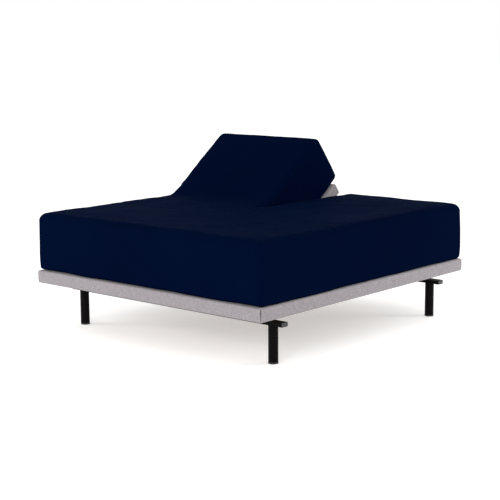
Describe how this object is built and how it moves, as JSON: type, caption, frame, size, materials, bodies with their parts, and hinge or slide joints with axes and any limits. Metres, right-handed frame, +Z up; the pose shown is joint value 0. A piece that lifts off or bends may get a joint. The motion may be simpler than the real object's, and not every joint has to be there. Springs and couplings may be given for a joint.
{
  "type": "adjustable bed base",
  "caption": "Adjustable bed base: upholstered deck in folding sections, split head lifted by actuators, steel frame on round legs, thick split-head mattress in a fitted sheet",
  "frame": {"origin": "on the floor, under the middle of the base", "axes": "+Z up, +Y from the foot end towards the head end, +X to the right seen from the foot end"},
  "size_m": [1.83, 2.03, 1.1262],
  "materials": {
    "black_steel": "satin",
    "zinc_steel": "satin",
    "black_plastic": "matte",
    "grey_plastic": "matte",
    "upholstery": "matte",
    "plywood": "matte",
    "sheet": "matte"
  },
  "bodies": {
    "root": {"actuator_motor_head_left": "black_plastic", "actuator_motor_head_right": "black_plastic", "actuator_motor_thigh": "black_plastic", "actuator_tube_head_left": "grey_plastic", "actuator_tube_head_right": "grey_plastic", "actuator_tube_thigh": "grey_plastic", "control_box": "grey_plastic", "cross_tube_foot_end": "black_steel", "cross_tube_head_actuators": "black_steel", "cross_tube_head_end": "black_steel", "cross_tube_thigh_actuator": "black_steel", "crossbar_cap_foot_left": "black_plastic", "crossbar_cap_foot_right": "black_plastic", "crossbar_cap_head_left": "black_plastic", "crossbar_cap_head_right": "black_plastic", "foot_rest_pad_left": "black_plastic", "foot_rest_pad_right": "black_plastic", "hinge_pin_head_left": "zinc_steel", "hinge_pin_head_right": "zinc_steel", "hinge_pin_hip": "zinc_steel", "leg_crossbar_foot": "black_steel", "leg_crossbar_head": "black_steel", "leg_foot_left": "black_steel", "leg_foot_right": "black_steel", "leg_glide_foot_left": "black_plastic", "leg_glide_foot_right": "black_plastic", "leg_glide_head_left": "black_plastic", "leg_glide_head_right": "black_plastic", "leg_head_left": "black_steel", "leg_head_right": "black_steel", "main_rail_left": "black_steel", "main_rail_right": "black_steel", "mattress_fold_head_left": "sheet", "mattress_fold_head_right": "sheet", "mattress_fold_hip": "sheet", "mattress_seat": "sheet", "seat_bearer_head": "black_steel", "seat_bearer_hip": "black_steel", "seat_board": "plywood", "seat_cover": "upholstery"},
    "head_left": {"head_left_board": "plywood", "head_left_cover": "upholstery", "head_left_lift_frame": "black_steel", "mattress_head_left": "sheet"},
    "head_right": {"head_right_board": "plywood", "head_right_cover": "upholstery", "head_right_lift_frame": "black_steel", "mattress_head_right": "sheet"},
    "thigh": {"hinge_pin_knee": "zinc_steel", "mattress_thigh": "sheet", "thigh_board": "plywood", "thigh_cover": "upholstery", "thigh_lift_frame": "black_steel"},
    "foot": {"foot_board": "plywood", "foot_cover": "upholstery", "foot_lift_frame": "black_steel", "mattress_foot": "sheet"},
    "head_left_rod": {"actuator_rod_head_left": "zinc_steel"},
    "head_right_rod": {"actuator_rod_head_right": "zinc_steel"},
    "thigh_rod": {"actuator_rod_thigh": "zinc_steel"}
  },
  "joints": [
    {"name": "head_left_lift", "type": "hinge", "parent": "root", "child": "head_left", "pos_m": [-0.459, 0.285, 0.3653], "axis": [1, 0, 0], "range_deg": [-37, 23], "deforming": ["mattress_fold_head_left"]},
    {"name": "head_right_lift", "type": "hinge", "parent": "root", "child": "head_right", "pos_m": [0.459, 0.285, 0.3653], "axis": [1, 0, 0], "range_deg": [0, 60], "deforming": ["mattress_fold_head_right"]},
    {"name": "thigh_lift", "type": "hinge", "parent": "root", "child": "thigh", "pos_m": [0, -0.045, 0.3653], "axis": [-1, 0, 0], "range_deg": [0, 35], "deforming": ["mattress_fold_hip"]},
    {"name": "foot_fold", "type": "hinge", "parent": "thigh", "child": "foot", "pos_m": [0, -0.425, 0.2953], "axis": [1, 0, 0], "range_deg": [0, 52.5]},
    {"name": "head_left_rod_slide", "type": "slide", "parent": "root", "child": "head_left_rod", "axis": [0, 1, 0], "range_m": [-0.093, 0.0578]},
    {"name": "head_right_rod_slide", "type": "slide", "parent": "root", "child": "head_right_rod", "axis": [0, 1, 0], "range_m": [0, 0.1503]},
    {"name": "thigh_rod_slide", "type": "slide", "parent": "root", "child": "thigh_rod", "axis": [0, -1, 0], "range_m": [0, 0.0821]}
  ],
  "couplings": [
    {"joint": "foot_fold", "follows": "thigh_lift", "ratio": 1.5},
    {"joint": "thigh_rod_slide", "follows": "thigh_lift", "m_per_rad": 0.1342},
    {"joint": "head_left_rod_slide", "follows": "head_left_lift", "m_per_rad": 0.14335},
    {"joint": "head_right_rod_slide", "follows": "head_right_lift", "m_per_rad": 0.14335}
  ]
}
